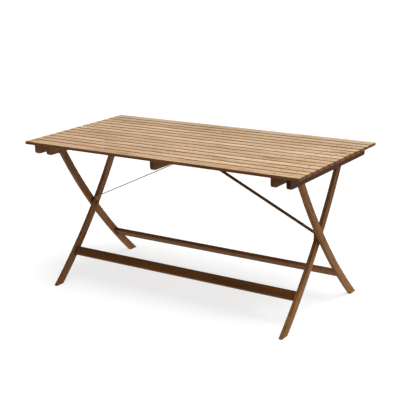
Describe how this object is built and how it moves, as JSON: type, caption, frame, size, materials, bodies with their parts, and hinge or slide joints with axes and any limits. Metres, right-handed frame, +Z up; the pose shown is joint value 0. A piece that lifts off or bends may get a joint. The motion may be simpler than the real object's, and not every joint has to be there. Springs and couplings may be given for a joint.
{
  "type": "folding picnic table",
  "caption": "Slatted rectangular wooden table on two crossed, gently curved leg frames that scissor flat under the top, braced by steel struts.",
  "frame": {"origin": "on the floor under the middle of the tabletop, table open", "axes": "+X right along the top's length, +Y to the back across its width, +Z up"},
  "size_m": [1.5, 0.754, 0.74],
  "materials": {
    "slat_wood": "oiled hardwood, light tan, satin",
    "bearer_wood": "oiled hardwood, dark brown, satin",
    "leg_wood": "oiled hardwood, brown, satin",
    "rail_wood": "oiled hardwood, brown, satin",
    "dowel_wood": "plain hardwood",
    "strut_steel": "bronzed flat bar, satin",
    "fastener_steel": "dull plated steel"
  },
  "bodies": {
    "tabletop": {"slat_01": "slat_wood", "slat_02": "slat_wood", "slat_03": "slat_wood", "slat_04": "slat_wood", "slat_05": "slat_wood", "slat_06": "slat_wood", "slat_07": "slat_wood", "slat_08": "slat_wood", "slat_09": "slat_wood", "slat_10": "slat_wood", "slat_11": "slat_wood", "slat_12": "slat_wood", "slat_13": "slat_wood", "slat_14": "slat_wood", "bearer_left_outer": "bearer_wood", "bearer_left_inner": "bearer_wood", "bearer_centre": "bearer_wood", "bearer_right_inner": "bearer_wood", "bearer_right_outer": "bearer_wood", "slat_screws_left_outer": "fastener_steel", "slat_screws_left_inner": "fastener_steel", "slat_screws_centre": "fastener_steel", "slat_screws_right_inner": "fastener_steel", "slat_screws_right_outer": "fastener_steel", "pivot_bolts": "fastener_steel", "pivot_nuts": "fastener_steel", "pivot_sleeves": "fastener_steel", "pivot_washers": "fastener_steel", "strut_keeper": "strut_steel", "keeper_screws": "fastener_steel"},
    "outer_frame": {"outer_leg_left": "leg_wood", "outer_leg_right": "leg_wood", "rear_rail": "rail_wood", "rear_rail_dowels": "dowel_wood"},
    "inner_frame": {"inner_leg_left": "leg_wood", "inner_leg_right": "leg_wood", "front_rail": "rail_wood", "front_rail_dowels": "dowel_wood", "crossing_bolts": "fastener_steel", "crossing_nuts": "fastener_steel", "crossing_washers": "fastener_steel"},
    "strut_left": {"strut_left": "strut_steel"},
    "strut_right": {"strut_right": "strut_steel"}
  },
  "joints": [
    {"name": "outer_frame_fold", "type": "hinge", "parent": "tabletop", "child": "outer_frame", "pos_m": [0, -0.2285, 0.7075], "axis": [1, 0, 0], "range_deg": [0, 47]},
    {"name": "frame_crossing", "type": "hinge", "parent": "outer_frame", "child": "inner_frame", "pos_m": [0, 0, 0.357], "axis": [1, 0, 0], "range_deg": [-94, 0]},
    {"name": "strut_left_swing", "type": "hinge", "parent": "inner_frame", "child": "strut_left", "pos_m": [-0.633, 0, 0.357], "axis": [1, 0, 0], "range_deg": [-37.7, 0]},
    {"name": "strut_right_swing", "type": "hinge", "parent": "inner_frame", "child": "strut_right", "pos_m": [0.633, 0, 0.357], "axis": [1, 0, 0], "range_deg": [-37.7, 0]}
  ],
  "couplings": [
    {"joint": "frame_crossing", "follows": "outer_frame_fold", "ratio": -2},
    {"joint": "strut_left_swing", "follows": "outer_frame_fold", "ratio": -0.8},
    {"joint": "strut_right_swing", "follows": "outer_frame_fold", "ratio": -0.8}
  ]
}
